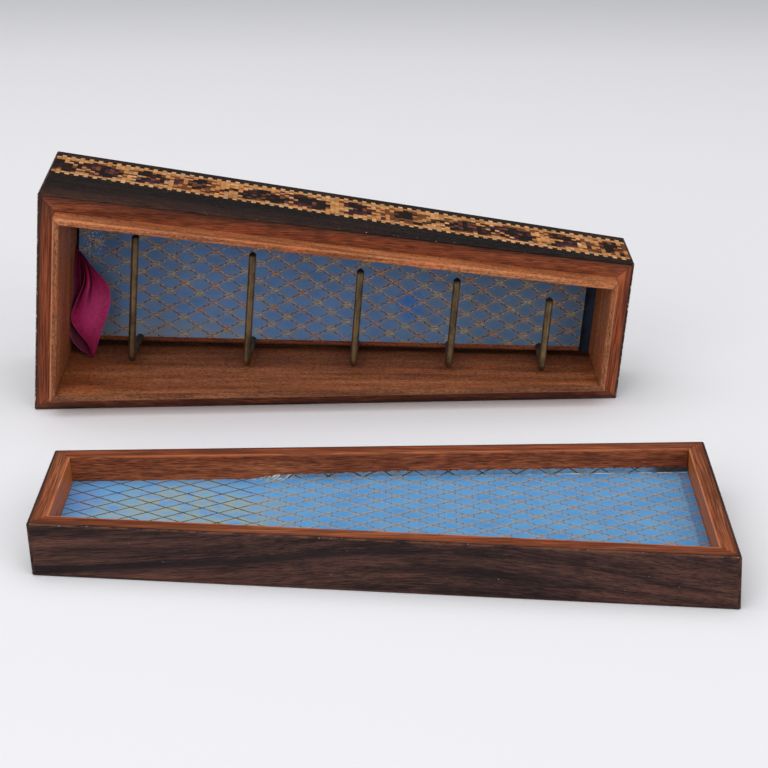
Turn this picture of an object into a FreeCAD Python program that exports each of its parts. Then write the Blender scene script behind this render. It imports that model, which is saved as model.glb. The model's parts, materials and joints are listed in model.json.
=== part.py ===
import FreeCAD, Part
import math
import os
import Sketcher

# A tapered veneered case, lying on its long lower side, with a lift-out pin rack and a lift-off lid.
# Closed, case and lid make one four-sided spire with square ends: x runs along its axis from the wide
# end, y across it from the lower to the upper side, and z through it from the case bottom to the lid top.

SIZES = {
    # the closed spire
    "axis_length": 210,
    "wide_width": 81.2,
    "narrow_width": 52.4,
    "wide_depth": 69.5,
    "narrow_depth": 46.3,
    "lid_height": 17.4,
    # walls, from outside to inside
    "veneer_thick": 0.9,
    "core_thick": 5.1,
    "liner_thick": 2.3,
    "bottom_board_thick": 2.8,
    "paper_thick": 0.3,
    "paper_gap": 0.15,
    # rounded edges
    "edge_round": 0.6,
    "edge_land": 0.2,
    "lip_round": 0.9,
    "lip_ease": 0.4,
    # the liner stands proud of the rim by the lip, and the lid goes over it
    "lip_height": 7.4,
    "lid_fit": 0.25,
    "lid_inside_depth": 8.5,
    "lid_turn_up_height": 2.2,
    "lid_turn_up_start": 7.5,
    "lid_turn_up_end": 120,
    # mosaic band on the upper side, measured from the back edge
    "mosaic_edge": 4.2,
    "mosaic_width": 22.1,
    # rack
    "rack_board_thick": 2.2,
    "rack_side_gap": 0.9,
    "rack_wide_gap": 1.3,
    "rack_narrow_gap": 4,
    "rack_bare_strip": 2.1,
    # pins: the first and the last stand at margins from the board's ends, and the spaces between all five
    # keep to the proportion of these four; each was bent by hand, so its leg has a height above the paper
    # and a free end of its own
    "pin_first_margin": 23.9,
    "pin_last_margin": 14.9,
    "pin_space_1": 42.3,
    "pin_space_2": 38.7,
    "pin_space_3": 34.7,
    "pin_space_4": 33.6,
    "pin_1_rise": 22.5,
    "pin_2_rise": 24.5,
    "pin_3_rise": 22.8,
    "pin_4_rise": 22,
    "pin_5_rise": 22.8,
    "pin_1_end_margin": 8.1,
    "pin_2_end_margin": 7.4,
    "pin_3_end_margin": 8,
    "pin_4_end_margin": 6.2,
    "pin_5_end_margin": 8,
    "pin_thick": 2.6,
    "pin_hole_gap": 0.1,
    "pin_bend": 1.9,
    "pin_foot_margin": 1.8,
    "pin_tip_taper": 0.9,
    # ribbon loop
    "ribbon_width": 13.5,
    "ribbon_root_thick": 0.6,
    "ribbon_loop_thick": 2.4,
    # where the lid lies beside the case
    "lid_across": 120.9,
    "lid_forward": 130.7,
    "lid_angle": 1.82,
}

# How far the trimming cuts reach past the pieces that they trim.
CUT_REACH = 20

PIN_COUNT = 5

# The four sides, with the names that their pieces carry in the case and in the lid.
CASE_SIDES = {"upper": "upper", "lower": "lower", "wide": "wide_end", "narrow": "narrow_end"}
LID_SIDES = {"upper": "rear", "lower": "front", "wide": "wide_end", "narrow": "narrow_end"}

# The ribbon loop's cross-sections, from its root under the rack board to the tip that hangs down:
# centre (out from the board's wide edge, across, up from the board's underside), the way its width runs,
# the way it is thick, and its width and thickness as shares of the ribbon's own.
RIBBON_SECTIONS = [
    ((-0.6, -0.5, 0.4), (0, 1, 0), (1, 0, 0), 0.90, 0.00),
    ((-0.6, -0.6, 3.2), (0, 1, 0), (1, 0, 0), 0.90, 0.00),
    ((1.8, -1.4, 7.5), (0.25, 0.90, 0.35), (0.85, -0.30, -0.40), 0.92, 0.35),
    ((6.4, -6.5, 12.0), (0.75, 0.62, 0.20), (0.30, -0.05, -0.95), 1.00, 0.90),
    ((7.8, -15.5, 15.0), (0.93, 0.33, 0.10), (0.10, 0.05, -0.99), 1.00, 1.00),
    ((6.6, -24.0, 16.5), (0.95, 0.05, 0.30), (0.30, 0.10, -0.95), 0.78, 0.90),
    ((6.2, -29.0, 18.0), (0.80, -0.20, 0.55), (0.55, 0.30, -0.80), 0.40, 0.35),
]


def start_document():
    """Make the document and its sheet of driving sizes."""
    new_doc = FreeCAD.newDocument("tapered_case")
    new_sheet = new_doc.addObject("Spreadsheet::Sheet", "dims")
    for row, (name, size) in enumerate(SIZES.items(), start=1):
        new_sheet.set(f"A{row}", str(size))
        new_sheet.setAlias(f"A{row}", name)
    new_doc.recompute()
    return new_doc, new_sheet


doc, sheet = start_document()
sub_parts = []


def value(expression):
    """The number that an expression of the sheet's sizes stands for."""
    return float(sheet.evalExpression(str(expression)))


# Slopes of the spire: how fast the half width and the half depth fall along the axis.
TAPER = "((dims.wide_width - dims.narrow_width) / (2 * dims.axis_length))"
LEAN = "((dims.wide_depth - dims.narrow_depth) / (2 * dims.axis_length))"
SIDE_STRETCH = f"sqrt(1 + {TAPER} ^ 2)"
FACE_STRETCH = f"sqrt(1 + {LEAN} ^ 2)"

# Insets from the outer faces, and heights above the outer bottom.
WALL_INSIDE = "(dims.veneer_thick + dims.core_thick)"
LINER_INSIDE = f"({WALL_INSIDE} + dims.liner_thick)"
LID_WALL_INSIDE = f"({WALL_INSIDE} - dims.lid_fit)"
BOARD_TOP = "(dims.veneer_thick + dims.bottom_board_thick)"
LINING_TOP = f"({BOARD_TOP} + dims.paper_thick)"
LID_BOARD_DEPTH = "(dims.lid_inside_depth + dims.paper_thick)"
RACK_SIDE = f"({LINER_INSIDE} + dims.rack_side_gap)"
RACK_WIDE = f"({LINER_INSIDE} + dims.rack_wide_gap)"
RACK_NARROW = f"({LINER_INSIDE} + dims.rack_narrow_gap)"
RACK_TOP = "(dims.rack_board_thick + dims.paper_thick)"
OUTER_ROUND = "min(dims.edge_round; dims.veneer_thick - dims.edge_land)"
LIP_ROUND = "min(dims.lip_round; dims.liner_thick - dims.lip_ease - dims.edge_land)"


def along(end, inset):
    """Place on the axis at an inset from the wide or the narrow end."""
    if end == "wide":
        return f"({inset})"
    return f"(dims.axis_length - ({inset}))"


def half_width(place, inset):
    """Half the width at a place on the axis, less an inset square to the side."""
    return f"(dims.wide_width / 2 - {place} * {TAPER} - ({inset}) * {SIDE_STRETCH})"


def above_bottom(lift):
    """Plane parallel to the case bottom, at a height square to it."""
    return lambda place: f"({place} * {LEAN} - dims.wide_depth / 2 + ({lift}) * {FACE_STRETCH})"


def up_the_side(rise):
    """Plane that meets the sides a rise, measured on the side, above the bottom edge."""
    return lambda place: f"({place} * {LEAN} - dims.wide_depth / 2 + ({rise}))"


def above_rim(lift):
    """Plane parallel to the rim, at a height square to it towards the lid top."""
    rise = f"(({lift}) - dims.lid_height) * {FACE_STRETCH}"
    return lambda place: f"(dims.wide_depth / 2 - {place} * {LEAN} + {rise})"


def below_lid_top(drop):
    """Plane parallel to the lid top, at a depth square to it."""
    return above_rim(f"dims.lid_height - ({drop})")


def corner(end, way, inset, end_inset=None):
    """Plan corner where an end and a long side meet, both set in."""
    place = along(end, inset if end_inset is None else end_inset)
    return place, f"({way}) * {half_width(place, inset)}"


def whole_plan(inset):
    """Plan of a board that fills the case at an inset."""
    return [corner("wide", -1, inset), corner("narrow", -1, inset),
            corner("narrow", 1, inset), corner("wide", 1, inset)]


def mitred_plan(side, outer, inner):
    """Plan of one of four strips that meet in mitres."""
    if side in ("wide", "narrow"):
        return [corner(side, -1, outer), corner(side, 1, outer),
                corner(side, 1, inner), corner(side, -1, inner)]
    way = 1 if side == "upper" else -1
    return [corner("wide", way, outer), corner("narrow", way, outer),
            corner("narrow", way, inner), corner("wide", way, inner)]


def butted_plan(side, thick):
    """Plan of one of four outer sheets, the long ones between the ends."""
    if side in ("wide", "narrow"):
        return [corner(side, -1, 0), corner(side, 1, 0),
                corner(side, 1, 0, thick), corner(side, -1, 0, thick)]
    way = 1 if side == "upper" else -1
    return [corner("wide", way, 0, thick), corner("narrow", way, 0, thick),
            corner("narrow", way, thick), corner("wide", way, thick)]


def origin_plane(body, role):
    """One of a body's own origin planes."""
    return next(plane for plane in body.Origin.OriginFeatures if plane.Role == role)


def new_sketch(body, name, role):
    """A sketch on one of a body's origin planes."""
    sketch = body.newObject("Sketcher::SketchObject", name)
    sketch.AttachmentSupport = [(origin_plane(body, role), "")]
    sketch.MapMode = "FlatFace"
    return sketch


def hold_point(sketch, geometry, point, place):
    """Tie a sketch point to two expressions, measured from the sketch's origin."""
    for kind, expression in zip(("DistanceX", "DistanceY"), place):
        constraint = Sketcher.Constraint(kind, -1, 1, geometry, point, value(expression))
        index = sketch.addConstraint(constraint)
        sketch.setExpression(f"Constraints[{index}]", str(expression))


def hold_size(sketch, kind, geometry, expression):
    """Tie a circle's or an arc's size to an expression."""
    index = sketch.addConstraint(Sketcher.Constraint(kind, geometry, value(expression)))
    sketch.setExpression(f"Constraints[{index}]", str(expression))


def add_polygon(sketch, corners):
    """Closed polygon whose corners follow their expressions."""
    points = [FreeCAD.Vector(value(x), value(y), 0) for x, y in corners]
    first = sketch.GeometryCount
    count = len(points)
    for index in range(count):
        sketch.addGeometry(Part.LineSegment(points[index], points[(index + 1) % count]), False)
    for index in range(count):
        following = first + (index + 1) % count
        sketch.addConstraint(Sketcher.Constraint("Coincident", first + index, 2, following, 1))
        hold_point(sketch, first + index, 1, corners[index])


def new_body(label, placement):
    """A body that becomes one sub-part."""
    body = doc.addObject("PartDesign::Body", label)
    body.Label = label
    body.Placement = placement
    sub_parts.append(body)
    return body


def add_pad(body, name, sketch, length, both_ways=False):
    """Extrude a sketch, upwards or both ways from its plane."""
    pad = body.newObject("PartDesign::Pad", name)
    pad.Profile = sketch
    pad.SideType = "Symmetric" if both_ways else "One side"
    pad.setExpression("Length", length)
    doc.recompute()
    return pad


def add_through_cut(body, name, sketch):
    """Cut a sketch right through a body, both ways, and see that it takes something away."""
    before = body.Shape.Volume
    cut = body.newObject("PartDesign::Pocket", name)
    cut.Profile = sketch
    cut.Type = "ThroughAll"
    cut.SideType = "Symmetric"
    doc.recompute()
    if not body.Shape.Volume < before:
        raise RuntimeError(f"{body.Label}: {name} cuts nothing")
    return cut


def plank(label, placement, plan, low, high):
    """A piece with the given plan, between two planes that slope along the axis."""
    body = new_body(label, placement)
    outline = new_sketch(body, f"{label}_plan", "XY_Plane")
    add_polygon(outline, plan)
    add_pad(body, f"{label}_pad", outline, "2 * dims.wide_depth", both_ways=True)
    near = f"(-{CUT_REACH})"
    far = f"(dims.axis_length + {CUT_REACH})"
    waste = new_sketch(body, f"{label}_waste", "XZ_Plane")
    over = f"(dims.wide_depth + {CUT_REACH})"
    under = f"(-dims.wide_depth - {CUT_REACH})"
    add_polygon(waste, [(near, high(near)), (far, high(far)), (far, over), (near, over)])
    add_polygon(waste, [(near, low(near)), (far, low(far)), (far, under), (near, under)])
    add_through_cut(body, f"{label}_trim", waste)
    return body


def round_edges(body, radius, chosen):
    """Round those edges of a body whose two end points are chosen as a pair."""
    base = body.Tip
    edges = []
    for index, edge in enumerate(base.Shape.Edges, start=1):
        points = [vertex.Point for vertex in edge.Vertexes]
        if len(points) == 2 and chosen(*points):
            edges.append(f"Edge{index}")
    if not edges:
        raise RuntimeError(f"{body.Label} has no such edge to round")
    rounding = body.newObject("PartDesign::Fillet", f"{body.Label}_round")
    rounding.Base = (base, edges)
    rounding.setExpression("Radius", radius)
    doc.recompute()


def near_to(number, expression):
    """True where a coordinate is the value of an expression."""
    return abs(number - value(expression)) < 0.001


def on_side(point, inset):
    """True for a point on either long side, at an inset."""
    return near_to(abs(point.y), half_width(point.x, inset))


def on_end(point, inset):
    """True for a point on either end, at an inset."""
    return near_to(point.x, along("wide", inset)) or near_to(point.x, along("narrow", inset))


def on_plane(point, plane):
    """True for a point on one of the sloping planes."""
    return near_to(point.z, plane(f"({point.x})"))


def upright(first, last):
    """True for an edge that runs straight through the spire."""
    return abs(first.x - last.x) < 0.001 and abs(first.y - last.y) < 0.001


def round_sheet(body, plane):
    """Round a bottom or top sheet along its outer outline and at its four corners."""
    def outer(first, last):
        return upright(first, last) or (on_plane(first, plane) and on_plane(last, plane))

    round_edges(body, OUTER_ROUND, outer)


def round_end_sheet(body):
    """Round an end sheet's two upright corners and its outer rim edges."""
    def outer(first, last):
        at_end = on_end(first, "0") or on_end(last, "0")
        at_rim = on_plane(first, RIM) and on_plane(last, RIM)
        return at_end and (at_rim or upright(first, last))

    round_edges(body, OUTER_ROUND, outer)


def round_along(body, radius, plane, on_line, inset):
    """Round the edge of a strip where a sloping plane meets one of its long faces."""
    def line(first, last):
        return all(on_plane(point, plane) and on_line(point, inset) for point in (first, last))

    round_edges(body, radius, line)


# Where the three groups stand.

def case_placement():
    """Lay the case on its lower side, with the middle of that side at the origin."""
    angle = math.atan(value(TAPER))
    mean_width = value("(dims.wide_width + dims.narrow_width) / 2")
    left = (value("dims.axis_length") * math.cos(angle) - mean_width * math.sin(angle)) / 2
    middle = value(f"dims.lid_height * {FACE_STRETCH} / 2")
    height = value("dims.wide_width / 2") * math.cos(angle)
    sin, cos = math.sin(angle), math.cos(angle)
    turn = FreeCAD.Matrix(cos, sin, 0, -left, 0, 0, -1, -middle, -sin, cos, 0, height, 0, 0, 0, 1)
    return FreeCAD.Placement(turn)


def lid_placement():
    """Lay the lid on its top in front of the case, wide end to the right, turned a little."""
    angle = math.atan(value(LEAN))
    sin, cos = math.sin(angle), math.cos(angle)
    height = value("dims.wide_depth / 2") * cos
    flat = FreeCAD.Placement(FreeCAD.Matrix(-cos, 0, sin, 0, 0, 1, 0, 0, -sin, 0, -cos, height, 0, 0, 0, 1))
    place = FreeCAD.Vector(value("dims.lid_across"), -value("dims.lid_forward"), 0)
    turn = FreeCAD.Rotation(FreeCAD.Vector(0, 0, 1), -value("dims.lid_angle"))
    return FreeCAD.Placement(place, turn) * flat


def tilted(placement, plane, ways):
    """A frame that lies flat on a sloping plane, with its x along the slope from the wide end."""
    start = FreeCAD.Vector(0, 0, value(plane("0")))
    tilt = FreeCAD.Rotation(FreeCAD.Vector(0, 1, 0), ways * math.degrees(math.atan(value(LEAN))))
    return placement * FreeCAD.Placement(start, tilt)


CASE = case_placement()
LID = lid_placement()
RACK = tilted(CASE, above_bottom(LINING_TOP), -1)
LID_INSIDE = tilted(LID, above_rim("0"), 1)

OUTER_BOTTOM = above_bottom("0")
UNDER_VENEER = above_bottom("dims.veneer_thick")
RIM = above_rim("0")
LIP = above_rim("dims.lip_height")
MOSAIC_BACK = up_the_side("dims.mosaic_edge")
MOSAIC_FRONT = up_the_side("dims.mosaic_edge + dims.mosaic_width")
LID_TOP = below_lid_top("0")
LID_UNDER_VENEER = below_lid_top("dims.veneer_thick")
LID_BOARD_INSIDE = above_rim(LID_BOARD_DEPTH)


def make_case_shell():
    """Bottom board, wall cores and outer veneers of the case."""
    plank("case_bottom_board", CASE, whole_plan("dims.veneer_thick"), UNDER_VENEER, above_bottom(BOARD_TOP))
    for side, name in CASE_SIDES.items():
        plan = mitred_plan(side, "dims.veneer_thick", WALL_INSIDE)
        plank(f"case_wall_{name}", CASE, plan, above_bottom(BOARD_TOP), RIM)
    round_sheet(plank("case_veneer_bottom", CASE, whole_plan("0"), OUTER_BOTTOM, UNDER_VENEER), OUTER_BOTTOM)
    for side in ("wide", "narrow"):
        sheet_plan = butted_plan(side, "dims.veneer_thick")
        round_end_sheet(plank(f"case_veneer_{side}_end", CASE, sheet_plan, UNDER_VENEER, RIM))
    lower = plank("case_veneer_lower", CASE, butted_plan("lower", "dims.veneer_thick"), UNDER_VENEER, RIM)
    upper_plan = butted_plan("upper", "dims.veneer_thick")
    plank("case_veneer_upper_back", CASE, upper_plan, UNDER_VENEER, MOSAIC_BACK)
    plank("case_mosaic_band", CASE, upper_plan, MOSAIC_BACK, MOSAIC_FRONT)
    front = plank("case_veneer_upper_front", CASE, upper_plan, MOSAIC_FRONT, RIM)
    for body in (lower, front):
        round_along(body, OUTER_ROUND, RIM, on_side, "0")


def make_liner():
    """Four mitred liner strips whose rounded tops stand proud as the lid's lip."""
    for side, name in CASE_SIDES.items():
        plan = mitred_plan(side, WALL_INSIDE, LINER_INSIDE)
        strip = plank(f"liner_{name}", CASE, plan, above_bottom(BOARD_TOP), LIP)
        on_line = on_end if side in ("wide", "narrow") else on_side
        round_along(strip, LIP_ROUND, LIP, on_line, WALL_INSIDE)
        round_along(strip, "dims.lip_ease", LIP, on_line, LINER_INSIDE)
    lining_plan = whole_plan(LINER_INSIDE)
    plank("case_lining_paper", CASE, lining_plan, above_bottom(BOARD_TOP), above_bottom(LINING_TOP))


def on_slope(plan_corner, height="0"):
    """A plan corner carried onto a frame that lies on the slope, whose height leans to the narrow end."""
    place, across = plan_corner
    return f"({place} * {FACE_STRETCH} - ({height}) * {LEAN})", across


def rack_plan(lower_inset):
    """Outline of the rack board, or of its paper, which stops short of the lower edge."""
    corners = [corner("wide", -1, lower_inset, RACK_WIDE), corner("narrow", -1, lower_inset, RACK_NARROW),
               corner("narrow", 1, RACK_SIDE, RACK_NARROW), corner("wide", 1, RACK_SIDE, RACK_WIDE)]
    return [on_slope(plan_corner) for plan_corner in corners]


def pin_place(number):
    """Where a pin stands along the axis."""
    spaces = [f"dims.pin_space_{index}" for index in range(1, PIN_COUNT)]
    before = " + ".join(["0"] + spaces[:number - 1])
    first = f"({RACK_WIDE} + dims.pin_first_margin)"
    last = f"(dims.axis_length - {RACK_NARROW} - dims.pin_last_margin)"
    return f"({first} + ({last} - {first}) * ({before}) / ({' + '.join(spaces)}))"


def pin_foot(number):
    """Where a pin's foot stands on the rack board."""
    place = pin_place(number)
    return on_slope((place, f"(-1) * {half_width(place, f'{RACK_SIDE} + dims.pin_foot_margin')}"))


def rack_sheet(label, placement, lower_inset, thick):
    """A flat sheet of the rack with a hole for each pin."""
    body = new_body(label, placement)
    outline = new_sketch(body, f"{label}_plan", "XY_Plane")
    add_polygon(outline, rack_plan(lower_inset))
    add_pad(body, f"{label}_pad", outline, thick)
    holes = new_sketch(body, f"{label}_holes", "XY_Plane")
    up = FreeCAD.Vector(0, 0, 1)
    for number in range(1, PIN_COUNT + 1):
        foot = pin_foot(number)
        centre = FreeCAD.Vector(value(foot[0]), value(foot[1]), 0)
        circle = holes.addGeometry(Part.Circle(centre, up, value("dims.pin_thick / 2")), False)
        hold_point(holes, circle, 3, foot)
        hold_size(holes, "Diameter", circle, "dims.pin_thick + dims.pin_hole_gap")
    add_through_cut(body, f"{label}_drilling", holes)


def make_pin(number):
    """A pin of bent wire: its foot through the board, its leg across the case, its tip tapered."""
    label = f"rack_pin_{number}"
    foot = pin_foot(number)
    tip = half_width(pin_place(number), f"{RACK_SIDE} + dims.pin_{number}_end_margin")
    leg = f"({tip} - {foot[1]})"
    rise = f"({RACK_TOP} + dims.pin_{number}_rise)"
    bend_start = f"({rise} - dims.pin_bend)"
    stand = FreeCAD.Placement(FreeCAD.Vector(value(foot[0]), value(foot[1]), 0), FreeCAD.Rotation())
    body = new_body(label, RACK * stand)
    section = new_sketch(body, f"{label}_section", "XY_Plane")
    up = FreeCAD.Vector(0, 0, 1)
    circle = section.addGeometry(Part.Circle(FreeCAD.Vector(), up, value("dims.pin_thick / 2")), False)
    hold_point(section, circle, 3, ("0", "0"))
    hold_size(section, "Diameter", circle, "dims.pin_thick")
    path = new_sketch(body, f"{label}_path", "YZ_Plane")
    bend = value("dims.pin_bend")
    low = FreeCAD.Vector(0, value(bend_start), 0)
    turned = FreeCAD.Vector(bend, value(rise), 0)
    centre = FreeCAD.Vector(bend, value(bend_start), 0)
    half_turned = centre + FreeCAD.Vector(-bend, bend, 0) * math.sqrt(0.5)
    path.addGeometry(Part.LineSegment(FreeCAD.Vector(), low), False)
    path.addGeometry(Part.Arc(low, half_turned, turned), False)
    path.addGeometry(Part.LineSegment(turned, FreeCAD.Vector(value(leg), value(rise), 0)), False)
    hold_point(path, 0, 1, ("0", "0"))
    hold_point(path, 0, 2, ("0", bend_start))
    # The arc is drawn from the leg back to the foot.
    path.addConstraint(Sketcher.Constraint("Coincident", 0, 2, 1, 2))
    path.addConstraint(Sketcher.Constraint("Coincident", 1, 1, 2, 1))
    hold_size(path, "Radius", 1, "dims.pin_bend")
    hold_point(path, 2, 1, ("dims.pin_bend", rise))
    hold_point(path, 2, 2, (leg, rise))
    pipe = body.newObject("PartDesign::AdditivePipe", f"{label}_wire")
    pipe.Profile = section
    pipe.Spine = path
    doc.recompute()
    taper_tip(body, label, leg)


def taper_tip(body, label, leg):
    """Taper the free end of a pin's leg."""
    wire = body.Tip
    ends = [f"Edge{index}" for index, edge in enumerate(wire.Shape.Edges, start=1)
            if all(near_to(vertex.Point.y, leg) for vertex in edge.Vertexes)]
    taper = body.newObject("PartDesign::Chamfer", f"{label}_tip")
    taper.Base = (wire, ends)
    taper.setExpression("Size", "min(dims.pin_tip_taper; dims.pin_thick / 2 - dims.edge_land)")
    doc.recompute()


def make_ribbon():
    """The ribbon loop: a soft band that rises from the board's wide edge, turns over and hangs down."""
    wide_edge = f"{RACK_WIDE} * {FACE_STRETCH}"
    sections = []
    for index, (centre, across, through, width_share, thick_share) in enumerate(RIBBON_SECTIONS, start=1):
        width_way = FreeCAD.Vector(*across).normalize()
        path_way = FreeCAD.Vector(*through).normalize().cross(width_way).normalize()
        thick_way = width_way.cross(path_way)
        turn = FreeCAD.Rotation(thick_way, width_way, path_way, "ZYX")
        place = FreeCAD.Vector(*centre) + FreeCAD.Vector(value(wide_edge), 0, 0)
        sketch = doc.addObject("Sketcher::SketchObject", f"ribbon_section_{index}")
        sketch.Placement = RACK * FreeCAD.Placement(place, turn)
        width = f"({width_share} * dims.ribbon_width / 2)"
        fullness = f"{thick_share} * (dims.ribbon_loop_thick - dims.ribbon_root_thick)"
        thick = f"((dims.ribbon_root_thick + {fullness}) / 2)"
        add_polygon(sketch, [(f"(-1) * {thick}", f"(-1) * {width}"), (thick, f"(-1) * {width}"),
                             (thick, width), (f"(-1) * {thick}", width)])
        sections.append(sketch)
    doc.recompute()
    ribbon = doc.addObject("Part::Loft", "ribbon_pull")
    ribbon.Label = "ribbon_pull"
    ribbon.Sections = sections
    ribbon.Solid = True
    ribbon.Ruled = True
    doc.recompute()
    sub_parts.append(ribbon)


def make_rack():
    """Rack board, its paper, the pins and the ribbon."""
    rack_sheet("rack_board", RACK, RACK_SIDE, "dims.rack_board_thick")
    on_board = FreeCAD.Placement(FreeCAD.Vector(0, 0, value("dims.rack_board_thick")), FreeCAD.Rotation())
    rack_sheet("rack_paper", RACK * on_board, f"{RACK_SIDE} + dims.rack_bare_strip", "dims.paper_thick")
    for number in range(1, PIN_COUNT + 1):
        make_pin(number)
    make_ribbon()


def make_lid_lining():
    """The lid's lining paper, turned up along part of the rear wall."""
    body = new_body("lid_lining_paper", LID_INSIDE)
    inset = f"({LID_WALL_INSIDE} + dims.paper_gap)"
    flat = new_sketch(body, "lid_lining_plan", "XY_Plane")
    add_polygon(flat, [on_slope(plan_corner, "dims.lid_inside_depth") for plan_corner in whole_plan(inset)])
    flat.AttachmentOffset = FreeCAD.Placement(FreeCAD.Vector(0, 0, value("dims.lid_inside_depth")),
                                              FreeCAD.Rotation())
    flat.setExpression("AttachmentOffset.Base.z", "dims.lid_inside_depth")
    add_pad(body, "lid_lining_flat", flat, "dims.paper_thick")
    turned = new_sketch(body, "lid_turn_up_plan", "XY_Plane")
    turned_inset = f"({inset} + dims.paper_thick)"
    start = "dims.lid_turn_up_start"
    end = "dims.lid_turn_up_end"
    strip = [(start, half_width(start, inset)), (end, half_width(end, inset)),
             (end, half_width(end, turned_inset)), (start, half_width(start, turned_inset))]
    add_polygon(turned, [on_slope(plan_corner, "dims.lid_inside_depth") for plan_corner in strip])
    turned.setExpression("AttachmentOffset.Base.z", "dims.lid_inside_depth - dims.lid_turn_up_height")
    add_pad(body, "lid_lining_turn_up", turned, "dims.lid_turn_up_height + dims.paper_thick")


def make_lid():
    """Top board, wall cores, veneers and lining of the lid."""
    plank("lid_top_board", LID, whole_plan("dims.veneer_thick"), LID_BOARD_INSIDE, LID_UNDER_VENEER)
    for side, name in LID_SIDES.items():
        plan = mitred_plan(side, "dims.veneer_thick", LID_WALL_INSIDE)
        plank(f"lid_wall_{name}", LID, plan, RIM, LID_BOARD_INSIDE)
    round_sheet(plank("lid_veneer_top", LID, whole_plan("0"), LID_UNDER_VENEER, LID_TOP), LID_TOP)
    for side in ("wide", "narrow"):
        sheet_plan = butted_plan(side, "dims.veneer_thick")
        round_end_sheet(plank(f"lid_veneer_{side}_end", LID, sheet_plan, RIM, LID_UNDER_VENEER))
    for side, name in (("upper", "rear"), ("lower", "front")):
        body = plank(f"lid_veneer_{name}", LID, butted_plan(side, "dims.veneer_thick"), RIM, LID_UNDER_VENEER)
        round_along(body, OUTER_ROUND, RIM, on_side, "0")
    make_lid_lining()


def check_document():
    """Stop if anything in the document failed or any sub-part isn't one sound solid."""
    for item in doc.Objects:
        if "Invalid" in item.State or "Error" in item.State:
            raise RuntimeError(f"{item.Label} is in state {item.State}")
    for item in sub_parts:
        shape = item.Shape
        if shape.isNull() or not shape.isValid() or len(shape.Solids) != 1:
            raise RuntimeError(f"{item.Label} isn't one valid solid")


def write_parts():
    """Write each sub-part to its own file."""
    os.makedirs("parts", exist_ok=True)
    for item in sub_parts:
        item.Shape.exportStep(f"parts/{item.Label}.step")
        box = item.Shape.BoundBox
        size = f"{box.XLength:.1f} x {box.YLength:.1f} x {box.ZLength:.1f} mm"
        print(f"{item.Label}: {size}, {item.Shape.Volume:.1f} mm3")


make_case_shell()
make_liner()
make_rack()
make_lid()
doc.recompute()
check_document()
write_parts()
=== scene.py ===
# %% [markdown]
# # A tapered case for small tools, with its rack and its lid
# The case lies on its long side and shows its inside. Its lid lies in front, inside up.
# Each solid was already drawn to size, and it comes into Blender as the frame. Here the frame gets its
# finishes: old polished wood, printed paper, aged brass and satin ribbon. Three pieces are made anew as
# meshes, because plain solids can't show them: the mosaic of wood squares, the ribbon and the torn paper.
# Lengths in the code are in millimetres, and one helper turns them into Blender's metres.

# %% Load the frame
import json
import math
import random

import bpy
from mathutils import Matrix, Vector

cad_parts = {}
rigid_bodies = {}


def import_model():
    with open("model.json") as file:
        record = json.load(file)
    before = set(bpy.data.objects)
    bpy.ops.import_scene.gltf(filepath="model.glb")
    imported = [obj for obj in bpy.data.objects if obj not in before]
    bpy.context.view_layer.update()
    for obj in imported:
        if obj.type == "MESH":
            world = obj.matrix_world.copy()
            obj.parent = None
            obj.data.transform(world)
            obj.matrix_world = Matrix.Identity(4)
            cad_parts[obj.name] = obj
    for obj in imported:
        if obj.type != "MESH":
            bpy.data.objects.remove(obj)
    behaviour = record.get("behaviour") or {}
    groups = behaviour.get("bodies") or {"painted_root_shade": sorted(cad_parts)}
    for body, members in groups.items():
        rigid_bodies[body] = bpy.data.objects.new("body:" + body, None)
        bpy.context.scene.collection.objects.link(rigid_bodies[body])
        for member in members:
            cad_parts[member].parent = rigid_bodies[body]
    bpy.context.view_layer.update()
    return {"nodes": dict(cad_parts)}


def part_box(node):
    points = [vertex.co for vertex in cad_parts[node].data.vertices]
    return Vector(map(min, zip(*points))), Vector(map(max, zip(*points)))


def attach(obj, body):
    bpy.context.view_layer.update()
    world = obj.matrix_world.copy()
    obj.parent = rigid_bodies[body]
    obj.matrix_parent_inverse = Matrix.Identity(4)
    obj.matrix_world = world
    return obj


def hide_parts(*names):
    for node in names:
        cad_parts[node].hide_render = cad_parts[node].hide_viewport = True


for leftover in list(bpy.data.objects):
    bpy.data.objects.remove(leftover)

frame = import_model()
nodes = frame["nodes"]

# %% [markdown]
# ## Camera
# A camera is a place, a direction, a roll and a lens. These came from fitting the edges of the solids to
# the picture of the real case, so the two can be laid over each other. Blender's camera looks down its own
# minus Z axis, so the matrix is put together from three directions: right, up, and backwards.

# %% Camera
MILLIMETRE = 0.001

look_turn = 0.0253
look_down = math.radians(22.80)
camera_roll = -0.0124
level_right = Vector((math.cos(look_turn), -math.sin(look_turn), 0))
forward = Vector(
    (
        math.sin(look_turn) * math.cos(look_down),
        math.cos(look_turn) * math.cos(look_down),
        -math.sin(look_down),
    )
)
level_up = level_right.cross(forward)
camera_right = math.cos(camera_roll) * level_right - math.sin(camera_roll) * level_up
camera_up = math.sin(camera_roll) * level_right + math.cos(camera_roll) * level_up

camera_data = bpy.data.cameras.new("camera")
camera_data.sensor_width = 36
camera_data.lens = 92.28
camera_data.clip_start = 0.01
camera = bpy.data.objects.new("camera", camera_data)
bpy.context.collection.objects.link(camera)
camera_spot = Vector((3.41, -674.63, 283.18))
place = Matrix((camera_right, camera_up, -forward)).transposed().to_4x4()
place.translation = camera_spot * MILLIMETRE
camera.matrix_world = place
bpy.context.scene.camera = camera
bpy.context.scene.view_settings.view_transform = "Standard"
print("camera at", camera_spot, "with a lens of", round(camera_data.lens, 2), "mm")

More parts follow.
